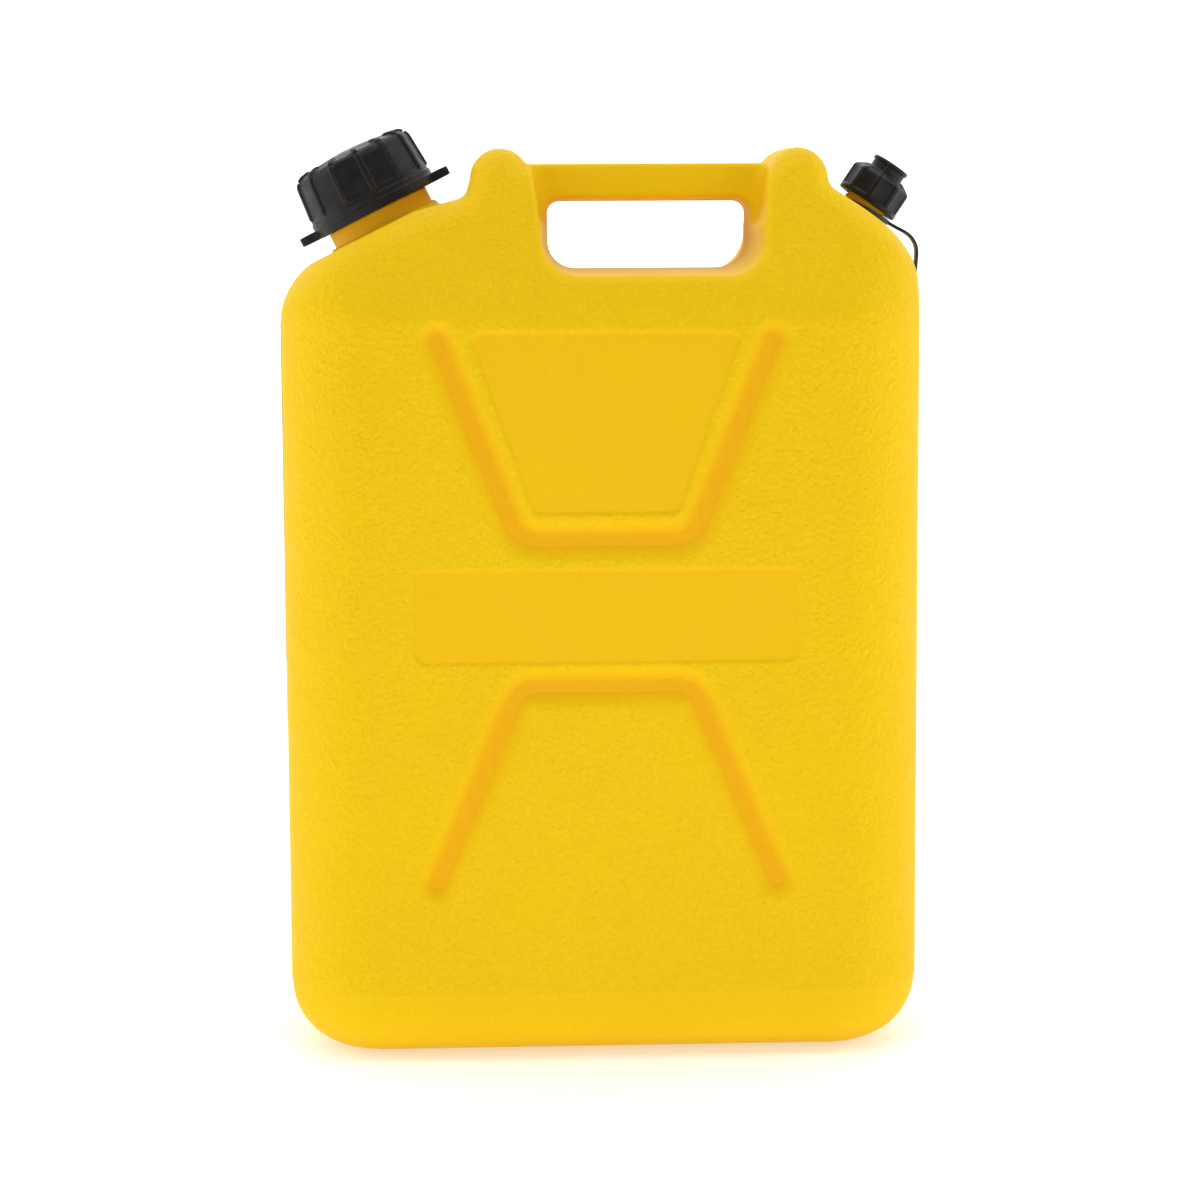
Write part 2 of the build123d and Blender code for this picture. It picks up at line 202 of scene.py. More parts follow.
def top_outline():
    """The top of the tank seen from the front: shoulders, humps and the bar between them."""
    fillet = 3.0
    rise = BAR_TOP + fillet - (HEIGHT - HUMP_RADIUS)
    reach = math.sqrt((HUMP_RADIUS + fillet) ** 2 - rise**2)
    meet = math.degrees(math.atan2(rise, reach))
    hump_z = HEIGHT - HUMP_RADIUS
    right_foot = RIGHT_HUMP + HUMP_RADIUS
    left_foot = LEFT_HUMP - HUMP_RADIUS
    right = rounded(
        [
            (220, 260, 0),
            (220, seat_height(VENT, VENT_SEAT, 220), 0),
            (right_foot, seat_height(VENT, VENT_SEAT, right_foot), 7),
            (right_foot, hump_z, 0),
        ]
    )
    left = rounded(
        [
            (left_foot, hump_z, 0),
            (left_foot - 2.2, 356, 6),
            (-77, seat_height(FILLER, FILLER_SEAT, -77), 22),
            (-220, seat_height(FILLER, FILLER_SEAT, -220), 0),
            (-220, 260, 0),
        ]
    )
    return np.vstack(
        [
            right,
            arc(RIGHT_HUMP, hump_z, HUMP_RADIUS, 4, 180 - meet),
            arc(RIGHT_HUMP - reach, BAR_TOP + fillet, fillet, 360 - meet, 270, 6),
            arc(LEFT_HUMP + reach, BAR_TOP + fillet, fillet, 270, 180 + meet, 6),
            arc(LEFT_HUMP, hump_z, HUMP_RADIUS, meet, 176),
            left,
        ]
    )


top_chart = Chart(top_outline(), (-140, 290), (140, 384), 0.5)
plate_chart = Chart(rounded(PLATE), (-75, 210), (75, 318), 0.4)
panel_chart = Chart(rounded(PANEL), (-98, 148), (98, 224), 0.4)
upper_route = rounded(UPPER_GROOVE, closed=False)
lower_route = rounded(LOWER_GROOVE, closed=False)


# ---------------------------------------------------------------- the tank as a distance
def meet_rounded(a, b, radius):
    """Both at once, with the edge between them rounded."""
    over = np.hypot(np.maximum(a + radius, 0), np.maximum(b + radius, 0))
    return np.minimum(np.maximum(a, b), -radius) + over


def join_rounded(a, b, radius):
    """Either one, with a fillet where they meet."""
    under = np.hypot(np.maximum(radius - a, 0), np.maximum(radius - b, 0))
    return np.maximum(np.minimum(a, b), radius) - under


def smooth_step(t):
    t = np.clip(t, 0, 1)
    return t * t * (3 - 2 * t)


def soft_ramp(t, width):
    """0 below, t above, with a round knee of the given width."""
    t = np.clip(t, -width, None)
    return np.where(t < width, (t + width) ** 2 / (4 * width), t)


def rounded_box(x, y, half_x, half_y, radius):
    qx = np.abs(x) - half_x + radius
    qy = np.abs(y) - half_y + radius
    outside = np.hypot(np.maximum(qx, 0), np.maximum(qy, 0))
    return np.minimum(np.maximum(qx, qy), 0) + outside - radius


LEAN = (HALF_DEPTH - RIDGE_HALF) / (HEIGHT - LEAN_START)


def base_form(x, y, z):
    """The tank before its panels and grooves."""
    knee = 5.0 + 9.0 * smooth_step(1 - np.abs(x - HANDLE_X) / 80)
    half_y = HALF_DEPTH - LEAN * soft_ramp(z - LEAN_START, knee)
    corner = np.clip(SIDE_CORNER - 0.25 * np.maximum(z - LEAN_START, 0), 12, SIDE_CORNER)
    corner = np.minimum(corner, half_y - 1)
    wall = rounded_box(x, y, HALF_WIDTH, half_y, corner)
    leaning = np.where(np.abs(y) > half_y - corner, smooth_step((z - LEAN_START + knee) / (2 * knee)), 0)
    wall = wall / np.sqrt(1 + (LEAN * leaning) ** 2)
    body = meet_rounded(wall, -z, BASE_CORNER)
    side = smooth_step((np.abs(x) - 104) / 22)
    edge = 10.0 + side * np.where(x < 0, 4.5, 2.5)
    body = meet_rounded(body, top_chart(x, z), edge)
    return body


def handle_pocket(x, y, z):
    lean = (POCKET_TOP_WIDTH - POCKET_WIDTH) / 2 / (HEIGHT - POCKET_FLOOR - 1)
    half = POCKET_WIDTH / 2 + lean * (z - POCKET_FLOOR - 1)
    sides = (np.abs(x - HANDLE_X) - half) / math.sqrt(1 + lean * lean)
    pocket = meet_rounded(sides, POCKET_FLOOR - z, 3.0)
    return meet_rounded(pocket, BAR_HALF_DEPTH - np.abs(y), 6.0)


def hand_hole(x, y, z):
    grow = HOLE_SLOPE * np.abs(y)
    floor = HOLE_FLOOR - FLOOR_SLOPE * np.abs(y)
    half_z = (BAR_BOTTOM + grow - floor) / 2
    middle = floor + half_z
    radius = np.where(z > middle, 5.5, 12.0) + grow
    hole = rounded_box(x - HANDLE_X, z - middle, HOLE_HALF_WIDTH + grow, half_z, radius)
    return hole / math.sqrt(1 + HOLE_SLOPE**2)


def groove(route, x, y, z):
    flat = outline_distance(route, x, z, closed=False)
    return np.hypot(flat, HALF_DEPTH - GROOVE_DEPTH + GROOVE_RADIUS - np.abs(y)) - GROOVE_RADIUS


def groove_distance(x, z):
    """How far a point is from the nearest groove's centre line, seen from the front."""
    upper = outline_distance(upper_route, x, z, closed=False)
    return np.minimum(upper, outline_distance(lower_route, x, z, closed=False))


def round_neck(plane, x, y, z, radius, bottom, top):
    """A cylinder standing on a neck's axis."""
    origin, across, _, along = plane
    dx, dz = x - origin.x, z - origin.z
    height = dx * along.x + dz * along.z
    from_axis = np.hypot(dx * across.x + dz * across.z, y)
    return np.maximum(from_axis - radius, np.maximum(bottom - height, height - top))


def tank_distance(p):
    x, y, z = p[:, 0], p[:, 1], p[:, 2]
    d = base_form(x, y, z)
    d = join_rounded(d, round_neck(FILLER, x, y, z, FILLER_FOOT, -20, FILLER_SEAT + 0.8), 1.8)
    d = join_rounded(d, round_neck(VENT, x, y, z, VENT_FOOT, -14, VENT_SEAT + 0.8), 1.5)
    d = meet_rounded(d, -handle_pocket(x, y, z), 2.2)
    d = meet_rounded(d, -hand_hole(x, y, z), 2.6)
    near = (np.abs(y) > HALF_DEPTH - 14) & (z < 316) & (np.abs(x) < 95) & (np.abs(d) < 14)
    if near.any():
        q = (x[near], y[near], z[near])
        cut = d[near]
        cut = meet_rounded(cut, -groove(upper_route, *q), 3.2)
        cut = meet_rounded(cut, -groove(lower_route, *q), 3.2)
        sunk = smooth_step(0.5 - plate_chart(q[0], q[2]) / PANEL_EDGE)
        sunk += PANEL_SHARE * smooth_step(0.5 - panel_chart(q[0], q[2]) / PANEL_EDGE)
        d[near] = cut + PANEL_DEPTH * sunk
    d = d + BAND_STEP * smooth_step(0.5 + BAND_TOP - z)
    return d - PARTING_RISE * np.exp(-((y / PARTING_WIDTH) ** 2))


def cavity_distance(p):
    x, y, z = p[:, 0], p[:, 1], p[:, 2]
    d = base_form(x, y, z)
    d = meet_rounded(d, -handle_pocket(x, y, z), 2.2)
    return meet_rounded(d, -hand_hole(x, y, z), 2.6) + WALL


def surface_net(distance, low, high, step):
    """Quads on the surface where distance is zero, one corner in each cell it crosses."""
    count = np.ceil((np.array(high) - low) / step).astype(int) + 1
    axes = [low[i] + step * np.arange(count[i]) for i in range(3)]
    values = np.empty(count, np.float32)
    for i in range(count[0]):
        y, z = np.meshgrid(axes[1], axes[2], indexing="ij")
        p = np.stack([np.full(y.size, axes[0][i]), y.ravel(), z.ravel()], 1)
        values[i] = distance(p).reshape(count[1], count[2])
    inside = values < 0
    total = np.zeros(tuple(count - 1) + (3,), np.float32)
    crossings = np.zeros(tuple(count - 1), np.float32)
    corners = [(a, b, c) for a in (0, 1) for b in (0, 1) for c in (0, 1)]
    for a in corners:
        for axis in range(3):
            if a[axis]:
                continue
            b = tuple(v + (i == axis) for i, v in enumerate(a))
            part_a = tuple(slice(v, v + n - 1) for v, n in zip(a, count))
            part_b = tuple(slice(v, v + n - 1) for v, n in zip(b, count))
            va, vb = values[part_a], values[part_b]
            cross = inside[part_a] != inside[part_b]
            share = np.where(cross, va / np.where(cross, va - vb, 1), 0)
            for i in range(3):
                total[..., i] += cross * (a[i] + (share if i == axis else 0))
            crossings += cross
    cells = crossings > 0
    number = np.full(cells.shape, -1)
    number[cells] = np.arange(cells.sum())
    where = np.argwhere(cells)
    points = (where + total[cells] / crossings[cells][:, None]) * step + np.array(low)
    quads = []
    for axis in range(3):
        u, v = (axis + 1) % 3, (axis + 2) % 3
        part_a = [slice(1, -1)] * 3
        part_a[axis] = slice(0, -1)
        part_b = list(part_a)
        part_b[axis] = slice(1, None)
        cross = inside[tuple(part_a)] != inside[tuple(part_b)]
        starts_in = inside[tuple(part_a)][cross]
        at = np.argwhere(cross)
        at[:, u] += 1
        at[:, v] += 1
        ring = []
        for du, dv in ((-1, -1), (0, -1), (0, 0), (-1, 0)):
            cell = at.copy()
            cell[:, u] += du
            cell[:, v] += dv
            ring.append(number[tuple(cell.T)])
        ring = np.stack(ring, 1)
        ring[~starts_in] = ring[~starts_in][:, ::-1]
        quads.append(ring)
    return points, np.vstack(quads)


def gradient(distance, p, step=0.15):
    out = np.empty_like(p)
    for i in range(3):
        move = np.zeros(3)
        move[i] = step
        out[:, i] = (distance(p + move) - distance(p - move)) / (2 * step)
    return out


def settle(distance, p, rounds=3, limit=1.2):
    """Brings points onto the surface along its own slope."""
    for _ in range(rounds):
        slope = gradient(distance, p)
        size = np.maximum((slope**2).sum(1), 0.05)
        move = slope * (distance(p) / size)[:, None]
        length = np.sqrt((move**2).sum(1))
        move *= np.minimum(1, limit / np.maximum(length, 1e-9))[:, None]
        p = p - move
    return p


def axis_radius(plane, p):
    origin, across, _, along = plane
    dx, dz = p[:, 0] - origin.x, p[:, 2] - origin.z
    height = dx * along.x + dz * along.z
    return np.hypot(dx * across.x + dz * across.z, p[:, 1]), height


def coordinates(bm):
    return np.array([v.co for v in bm.verts])


def refine(bm, wanted):
    """Halves every edge whose two ends are wanted."""
    bm.verts.ensure_lookup_table()
    flags = wanted(coordinates(bm))
    edges = [e for e in bm.edges if flags[e.verts[0].index] and flags[e.verts[1].index]]
    bmesh.ops.subdivide_edges(bm, edges=edges, cuts=1, use_grid_fill=True)
    bm.verts.index_update()
    for v, co in zip(bm.verts, settle(tank_distance, coordinates(bm), 2)):
        v.co = co


def open_necks(bm):
    """Takes away what lies across the two bores."""
    centres = np.array([f.calc_center_median() for f in bm.faces])
    drop = np.zeros(len(centres), bool)
    for plane, radius in ((FILLER, FILLER_OPENING), (VENT, VENT_OPENING)):
        from_axis, height = axis_radius(plane, centres)
        drop |= (from_axis < radius) & (np.abs(height) < 22)
    faces = [f for f, gone in zip(bm.faces, drop) if gone]
    bmesh.ops.delete(bm, geom=faces, context="FACES")


def curved(p):
    """Where the surface bends enough to want smaller faces."""
    x, y, z = p[:, 0], np.abs(p[:, 1]), p[:, 2]
    grooves = groove_distance(x, z)
    face = y > HALF_DEPTH - 9
    flags = face & (grooves < 10.5)
    flags |= face & (np.abs(plate_chart(x, z)) < 3.5)
    flags |= face & (np.abs(panel_chart(x, z)) < 3.5)
    flags |= (np.abs(z - BAND_TOP) < 3) | (y < 3.2)
    handle = (z > 318) & (np.abs(x - HANDLE_X) < 60)
    flags |= handle & ((np.abs(handle_pocket(x, y, z)) < 7) | (np.abs(hand_hole(x, y, z)) < 7))
    flags |= (z > 335) & (top_chart(x, z) > -10)
    for plane, radius in ((FILLER, 24.5), (VENT, 11)):
        from_axis, height = axis_radius(plane, p)
        flags |= (np.abs(from_axis - radius) < 5) & (np.abs(height) < 16)
    return flags


def stepped(p):
    """Where a step is finer than the faces around it."""
    x, y, z = p[:, 0], np.abs(p[:, 1]), p[:, 2]
    face = y > HALF_DEPTH - 5
    flags = face & ((np.abs(plate_chart(x, z)) < 1.5) | (np.abs(panel_chart(x, z)) < 1.5))
    flags |= (np.abs(z - BAND_TOP) < 1.4) | (y < 1.5)
    for plane, radius in ((FILLER, FILLER_FOOT), (VENT, 10.2)):
        from_axis, height = axis_radius(plane, p)
        flags |= (np.abs(from_axis - radius) < 2.6) & (np.abs(height) < 12)
    return flags


def finished_mesh(name, bm):
    bmesh.ops.scale(bm, vec=(MM, MM, MM), verts=bm.verts)
    for f in bm.faces:
        f.smooth = True
    mesh = bpy.data.meshes.new(name)
    bm.to_mesh(mesh)
    bm.free()
    obj = bpy.data.objects.new(name, mesh)
    bpy.context.scene.collection.objects.link(obj)
    return obj


def net_bmesh(distance, step):
    low = np.array((-HALF_WIDTH, -HALF_DEPTH, 0)) - 1.3 * step
    high = np.array((HALF_WIDTH, HALF_DEPTH, HEIGHT + 6)) + 1.3 * step
    points, quads = surface_net(distance, low, high, step)
    points = settle(distance, points.astype(float))
    bm = bmesh.new()
    verts = [bm.verts.new(p) for p in points]
    for quad in quads:
        bm.faces.new([verts[i] for i in quad])
    bm.verts.index_update()
    return bm


def add_masks(mesh):
    """grain is 1 where the mould is textured and 0 where it is smooth; the second mask marks what is sunk,
    where orange shade is painted into the colour.
    """
    p = np.array([v.co for v in mesh.vertices]) / MM
    x, y, z = p[:, 0], np.abs(p[:, 1]), p[:, 2]
    face = y > HALF_DEPTH - 4
    grooves = groove_distance(x, z)
    grain = smooth_step((z - BAND_TOP + 1) / 2)
    grain *= np.where(face, smooth_step(0.5 + plate_chart(x, z) / 2), 1)
    grain *= np.where(face, smooth_step(0.5 + panel_chart(x, z) / 2), 1)
    grain *= np.where(y > HALF_DEPTH - 8, 0.25 + 0.75 * smooth_step((grooves - 5) / 4), 1)
    near_handle = np.minimum(np.abs(hand_hole(x, y, z)), np.abs(handle_pocket(x, y, z)))
    inner = (hand_hole(x, y, z) < 3) | (handle_pocket(x, y, z) < 3)
    grain *= np.where((z > 318) & inner, 0.25, 1) * np.where(near_handle < 1, 0.6, 1)
    mesh.attributes.new("grain", "FLOAT", "POINT").data.foreach_set("value", grain.astype(np.float32))
    # painted shade: strong in the grooves, fainter in the sunk panels
    recess_shade = np.where(y > HALF_DEPTH - 8, smooth_step((7.0 - grooves) / 6.0), 0) * 0.75
    for chart in (plate_chart, panel_chart):
        recess_shade = np.maximum(recess_shade, np.where(face, 0.24 * smooth_step(0.5 - chart(x, z) / 2), 0))
    mesh.attributes.new("recess_shade", "FLOAT", "POINT").data.foreach_set("value", recess_shade.astype(np.float32))


def build_tank():
    bm = net_bmesh(tank_distance, OUTER_STEP)
    refine(bm, curved)
    refine(bm, stepped)
    open_necks(bm)
    inner = net_bmesh(cavity_distance, INNER_STEP)
    open_necks(inner)
    bmesh.ops.reverse_faces(inner, faces=inner.faces)
    spare = bpy.data.meshes.new("spare")
    inner.to_mesh(spare)
    inner.free()
    bm.from_mesh(spare)
    bpy.data.meshes.remove(spare)
    obj = finished_mesh("tank_body", bm)
    add_masks(obj.data)
    return obj


# ---------------------------------------------------------------- turned pieces
def dense(profile, step):
    """A profile cut into short runs, so that ribs and threads can be raised on it."""
    out = []
    for (r0, z0), (r1, z1) in zip(profile, profile[1:]):
        count = max(1, round(math.hypot(r1 - r0, z1 - z0) / step))
        out += [(r0 + (r1 - r0) * t / count, z0 + (z1 - z0) * t / count) for t in range(count)]
    return np.array(out + [profile[-1]])


def turned(name, plane, profile, segments, shape=None, step=0.45, closed=False):
    """Turns a profile (radius, height) about a neck's axis. shape moves radius and height."""
    origin, across, back, along = plane
    path = dense(profile, step)
    angles = np.arange(segments) * 2 * math.pi / segments
    radius = np.repeat(path[:, 0][:, None], segments, 1)
    height = np.repeat(path[:, 1][:, None], segments, 1)
    ahead = np.gradient(path, axis=0)
    ahead /= np.maximum(np.hypot(ahead[:, 0], ahead[:, 1]), 1e-9)[:, None]
    normal = np.stack([ahead[:, 1], -ahead[:, 0]], 1)
    turn = np.repeat(angles[None, :], len(path), 0)
    if shape:
        radius, height = shape(radius, height, turn, normal)
    bm = bmesh.new()
    rings = []
    for i in range(len(path)):
        if path[i, 0] < 1e-6:
            centre = origin + along * float(height[i, 0])
            rings.append([bm.verts.new(centre)])
            continue
        ring = []
        for r, h, t in zip(radius[i], height[i], angles):
            offset = across * (r * math.cos(t)) + back * (r * math.sin(t)) + along * h
            ring.append(bm.verts.new(origin + offset))
        rings.append(ring)
    pairs = list(zip(rings, rings[1:]))
    if closed:
        pairs.append((rings[-1], rings[0]))
    for low, high in pairs:
        for j in range(segments):
            k = (j + 1) % segments
            if len(low) == 1:
                bm.faces.new([low[0], high[k], high[j]])
            elif len(high) == 1:
                bm.faces.new([low[j], low[k], high[0]])
            else:
                bm.faces.new([low[j], low[k], high[k], high[j]])
    bmesh.ops.recalc_face_normals(bm, faces=bm.faces)
    return finished_mesh(name, bm)


def thread_rise(height, turn, start, pitch, turns, tooth):
    """How far a screw thread stands up at each point of a wall."""
    depth, root, crest = tooth
    lap = (height - start) / pitch - turn / (2 * math.pi)
    lap_number = np.clip(np.round(lap), 0, None)
    along = lap_number + turn / (2 * math.pi)
    off = np.abs(lap - lap_number) * pitch
    ridge = np.clip((root / 2 - off) / (root / 2 - crest / 2), 0, 1)
    ends = smooth_step(along / 0.06) * smooth_step((turns - along) / 0.06)
    return depth * smooth_step(ridge) * ends


def round_edge(x, z, radius, start, end, steps=8):
    return [tuple(p) for p in arc(x, z, radius, start, end, steps)]


def build_filler_neck():
    collar, neck, bore, top, seat = 22.6, 21.6, 18.6, 21.5, FILLER_SEAT

    def shape(radius, height, turn, normal):
        outer = (radius > neck - 0.01) & (radius < neck + 0.01)
        rise = thread_rise(height, turn, 5.0, 6.0, 1.75, (1.3, 2.4, 1.2))
        return radius + np.where(outer, rise, 0), height

    profile = [(bore, seat - 6), (collar, seat - 6), (collar, -0.4), (collar - 0.4, 0), (neck, 0)]
    profile += round_edge(neck - 1, top - 1, 1, 0, 90)
    profile += round_edge(bore + 0.7, top - 0.7, 0.7, 90, 180)
    return turned("filler_neck", FILLER, profile, 240, shape, 0.5, closed=True)


def build_vent_neck():
    neck, bore, top, seat = 8.7, 6.0, 10.0, VENT_SEAT

    def shape(radius, height, turn, normal):
        outer = (radius > neck - 0.01) & (radius < neck + 0.01)
        rise = thread_rise(height, turn, -3.0, 3.0, 3.5, (0.7, 1.3, 0.6))
        return radius + np.where(outer, rise, 0), height

    profile = [(bore, seat - 6), (neck, seat - 6)]
    profile += round_edge(neck - 0.5, top - 0.5, 0.5, 0, 90)
    profile += round_edge(bore + 0.4, top - 0.4, 0.4, 90, 180)
    return turned("vent_neck", VENT, profile, 150, shape, 0.3, closed=True)


RIB_COUNT = 13
FIRST_RIB = math.radians(-82.5)


def build_filler_cap():
    inner, side, foot, skirt, rim = 23.5, 25.9, 27.1, 27.6, 27.9
    height, crown, edge = 26.1, 2.3, 5.0

    def shape(radius, z, turn, normal):
        pitch = 2 * math.pi / RIB_COUNT
        off = (turn - FIRST_RIB + pitch / 2) % pitch - pitch / 2
        width = np.abs(off) * np.maximum(radius, 1)
        rib = smooth_step((1.55 - width) / 0.7)
        low = z - 7.4 - 1.0 * (1 - np.sqrt(np.clip(1 - (width / 1.6) ** 2, 0, 1)))
        start = smooth_step(low / 0.8)
        inward = smooth_step((radius - (side - edge - 3.2)) / 2.2)
        outside = (radius > inner + 1.2) | (z > 24.5)
        above = z > 6.5
        rise = 0.95 * rib * start * inward * (outside & above)
        dish = 0.28 * (1 - rib) * np.sin(np.pi * np.clip((np.abs(off) / pitch - 0.1) / 0.8, 0, 1))
        rise = rise - dish * (outside & above) * inward * start
        r = radius + normal[:, 0][:, None] * rise
        h = z + normal[:, 1][:, None] * rise
        cos, sin = np.abs(np.cos(turn)), np.abs(np.sin(turn))
        ear = ((cos / 34.6) ** 14 + (sin / 6.1) ** 14) ** (-1 / 14)
        flange = (z < 3.9) & (radius > skirt)
        outset = np.maximum(ear, rim) - rim
        r = r + np.where(flange, outset * np.clip((radius - skirt) / (rim - skirt), 0, 1), 0)
        wall = (np.abs(radius - inner) < 0.01) & (z < 22.6)
        rise = thread_rise(z, turn, 2.0, 6.0, 1.75, (1.2, 2.4, 1.2))
        return r - np.where(wall, rise, 0), h

    profile = [(0, 23.5), (inner, 23.5), (inner, 0.4), (inner + 0.4, 0)]
    profile += [(skirt, 0)] + round_edge(rim - 0.2, 0.2, 0.2, 270, 360, 4)
    profile += round_edge(rim - 0.2, 3.6, 0.2, 0, 90, 4) + [(skirt, 3.8)]
    profile += round_edge(skirt - 0.4, 6.0, 0.4, 0, 90, 5) + [(foot, 6.6)]
    profile += round_edge(side - edge, height - edge, edge, 0, 78, 14)
    bend = (side - edge) / 3
    profile += [(bend * k, height + crown * (1 - (k / 3.2) ** 2)) for k in (2.4, 1.6, 0.8)]
    profile += [(0, height + crown)]
    return turned("filler_cap_body", FILLER, profile, 13 * 48, shape, 0.5)


def build_vent_cap():
    inner, outer, side, height = 9.9, 13.6, 11.8, 14.8
    waist, lip, knob = 7.5, 8.2, 4.6

    def shape(radius, z, turn, normal):
        count = 9
        off = (turn * count / (2 * math.pi) + 0.5) % 1 - 0.5
        flute = np.sqrt(np.clip(1 - (np.abs(off) / 0.4) ** 2, 0, 1))
        mask = smooth_step((z - 1.9) / 0.7) * (radius > outer - 3.5)
        depth = 1.0 * flute * mask * smooth_step((radius - outer + 3.5) / 1.5)
        wall = (np.abs(radius - inner) < 0.01) & (z < 11)
        rise = thread_rise(z, turn, 1.5, 3.0, 2.0, (0.7, 1.3, 0.6))
        return radius - depth - np.where(wall, rise, 0), z

    profile = [(0, 11.3), (inner, 11.3), (inner, 0.3), (inner + 0.3, 0)]
    profile += round_edge(outer - 0.4, 0.4, 0.4, 270, 360, 4)
    profile += round_edge(outer - 2, side - 1.2, 2, 0, 62, 8)
    profile += [(waist + 1.5, height - 0.2), (waist + 0.4, height)]
    profile += round_edge(waist + 0.4, height + 0.4, 0.4, 270, 180, 4)
    profile += [(waist, height + knob - 2)]
    profile += round_edge(lip - 0.4, height + knob - 1.1, 0.4, 320, 360, 3)
    profile += round_edge(lip - 0.5, height + knob - 0.5, 0.5, 0, 90, 5)
    profile += [(lip - 1.4, height + knob - 0.1), (lip - 3.4, height + knob - 0.7), (0, height + knob - 0.8)]
    return turned("vent_cap_body", VENT, profile, 9 * 36, shape, 0.35)


# ---------------------------------------------------------------- materials
def node_material(name, colour, roughness, **sockets):
    material = bpy.data.materials.new(name)
    material.use_nodes = True
    shader = material.node_tree.nodes["Principled BSDF"]
    shader.inputs["Base Color"].default_value = (*colour, 1)
    shader.inputs["Roughness"].default_value = roughness
    for key, value in sockets.items():
        shader.inputs[key.replace("_", " ")].default_value = value
    return material, material.node_tree, shader


def place(tree, kind, **values):
    node = tree.nodes.new(kind)
    for key, value in values.items():
        if key in node.inputs:
            node.inputs[key].default_value = value
        else:
            setattr(node, key, value)
    return node


def noise(tree, vector, scale, detail=3.0, roughness=0.5):
    node = place(tree, "ShaderNodeTexNoise")
    node.inputs["Scale"].default_value = scale
    node.inputs["Detail"].default_value = detail
    node.inputs["Roughness"].default_value = roughness
    tree.links.new(vector, node.inputs["Vector"])
    return node.outputs["Fac"]


def ramp(tree, value, low, high, out_low, out_high):
    node = place(tree, "ShaderNodeMapRange")
    for key, number in zip(("From Min", "From Max", "To Min", "To Max"), (low, high, out_low, out_high)):
        node.inputs[key].default_value = number
    tree.links.new(value, node.inputs["Value"])
    return node.outputs["Result"]


def math_node(tree, operation, a, b):
    node = place(tree, "ShaderNodeMath", operation=operation)
    for socket, value in zip(node.inputs, (a, b)):
        if isinstance(value, (int, float)):
            socket.default_value = value
        else:
            tree.links.new(value, socket)
    return node.outputs["Value"]


def mix_colour(tree, share, first, second):
    node = place(tree, "ShaderNodeMix", data_type="RGBA")
    tree.links.new(share, node.inputs["Factor"])
    for socket, value in ((node.inputs[6], first), (node.inputs[7], second)):
        if isinstance(value, tuple):
            socket.default_value = (*value, 1)
        else:
            tree.links.new(value, socket)
    return node.outputs[2]


def bump(tree, shader, height, strength, distance, below=None):
    node = place(tree, "ShaderNodeBump")
    node.inputs["Strength"].default_value = strength
    node.inputs["Distance"].default_value = distance
    tree.links.new(height, node.inputs["Height"])
    if below:
        tree.links.new(below, node.inputs["Normal"])
    tree.links.new(node.outputs["Normal"], shader.inputs["Normal"])
    return node.outputs["Normal"]


YELLOW = (0.86, 0.56, 0.004)
DEEP_YELLOW = (0.82, 0.50, 0.004)
# the orange of the painted shade in the grooves and sunk panels
RECESS_SHADE_ORANGE = (0.86, 0.38, 0.006)
# the neck's yellow and orange are both more orange than the tank's: painted shade from the cap above the
# neck
SHADED_NECK_YELLOW = (0.95, 0.55, 0.02)
SHADED_NECK_ORANGE = (0.95, 0.45, 0.02)
# the pale yellow of the painted highlight on convex edges
EDGE_HIGHLIGHT_YELLOW = (0.93, 0.62, 0.03)
BLACK = (0.010, 0.009, 0.008)
DEEP_BLACK = (0.004, 0.0032, 0.0028)
PALE_BLACK = (0.009, 0.0078, 0.007)
# the paler black used towards convex edges
PALE_EDGE_BLACK = (0.06, 0.055, 0.05)


def yellow_plastic(name, grain):
    material, tree, shader = node_material(name, YELLOW, 0.55, Specular_IOR_Level=0.08)
    where = place(tree, "ShaderNodeTexCoord").outputs["Object"]
    cloud = noise(tree, where, 14, 2)
    speck = noise(tree, where, 650, 2)
    share = math_node(tree, "MULTIPLY", ramp(tree, cloud, 0.35, 0.65, 0, 1), 0.3)
    share = math_node(tree, "ADD", share, ramp(tree, speck, 0.3, 0.7, 0, 0.5))
    colour = mix_colour(tree, share, *((YELLOW, DEEP_YELLOW) if grain else (SHADED_NECK_YELLOW, SHADED_NECK_ORANGE)))
    if grain:
        # grooves and sunk panels mixed toward orange: painted shade in the recesses
        recess_shade = place(tree, "ShaderNodeAttribute", attribute_name="recess_shade").outputs["Fac"]
        colour = mix_colour(tree, recess_shade, colour, RECESS_SHADE_ORANGE)
    # lighter towards convex edges: a painted highlight where the edges catch the light
    edge_lightening = ramp(tree, place(tree, "ShaderNodeNewGeometry").outputs["Pointiness"], 0.52, 0.62, 0, 0.3)
    colour = mix_colour(tree, edge_lightening, colour, EDGE_HIGHLIGHT_YELLOW)
    tree.links.new(colour, shader.inputs["Base Color"])
    rough = ramp(tree, noise(tree, where, 60, 4), 0.3, 0.7, 0.5, 0.64)
    tree.links.new(rough, shader.inputs["Roughness"])
    wander = place(tree, "ShaderNodeTexNoise", Scale=260, Detail=2)
    tree.links.new(where, wander.inputs["Vector"])
    shift = place(tree, "ShaderNodeVectorMath", operation="MULTIPLY_ADD")
    shift.inputs[1].default_value = (0.0022, 0.0022, 0.0022)
    tree.links.new(wander.outputs["Color"], shift.inputs[0])
    tree.links.new(where, shift.inputs[2])
    pebble = place(tree, "ShaderNodeTexVoronoi", feature="SMOOTH_F1", Scale=600, Smoothness=0.7)
    tree.links.new(shift.outputs["Vector"], pebble.inputs["Vector"])
    fine = noise(tree, where, 1500, 2)
    height = math_node(tree, "ADD", pebble.outputs["Distance"], math_node(tree, "MULTIPLY", fine, 0.25))
    if grain:
        mask = place(tree, "ShaderNodeAttribute", attribute_name="grain").outputs["Fac"]
        height = math_node(tree, "MULTIPLY", height, math_node(tree, "MAXIMUM", mask, 0.06))
    below = bump(tree, shader, height, 1.0 if grain else 0.08, 0.0006)
    bump(tree, shader, noise(tree, where, 38, 2), 0.12, 0.0012, below)
    return material


